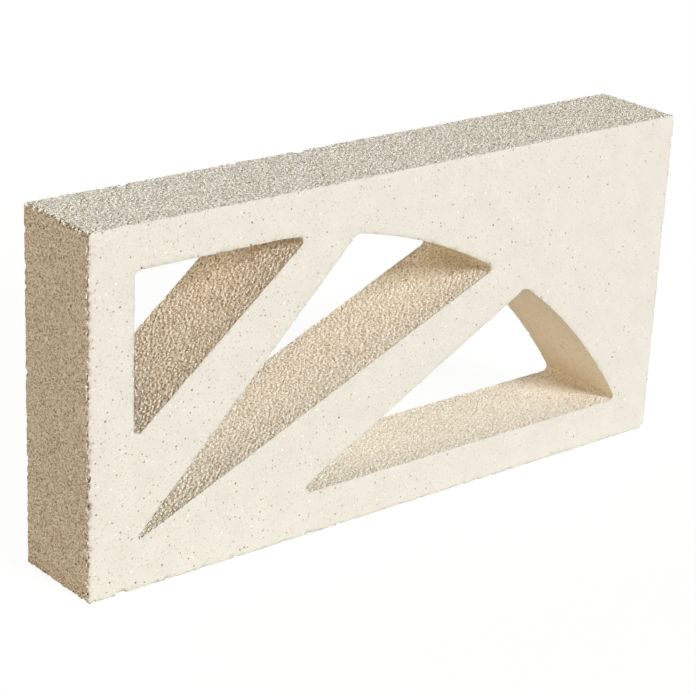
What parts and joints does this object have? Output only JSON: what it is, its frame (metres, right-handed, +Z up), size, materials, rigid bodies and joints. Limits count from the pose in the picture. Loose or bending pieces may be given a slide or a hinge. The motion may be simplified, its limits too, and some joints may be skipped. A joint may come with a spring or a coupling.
{
  "type": "decorative screen block",
  "caption": "Rectangular cast concrete screen block with fan-shaped openings between two tapering bars, laid in courses to make a pierced garden or facade wall.",
  "frame": {"origin": "middle of the lower bed face, at mid length and mid thickness, on the surface that the block stands on", "axes": "+X along the block towards the end where the arc comes down, +Y through the thickness away from the show face, +Z up to the upper bed face"},
  "size_m": [0.39, 0.055, 0.19],
  "materials": {
    "concrete": "pale cream cast concrete, smooth and finely speckled on the show face, coarse and gritty on the bed faces, the ends and inside the openings"
  },
  "bodies": {
    "root": {"screen_block": "concrete"}
  },
  "joints": []
}
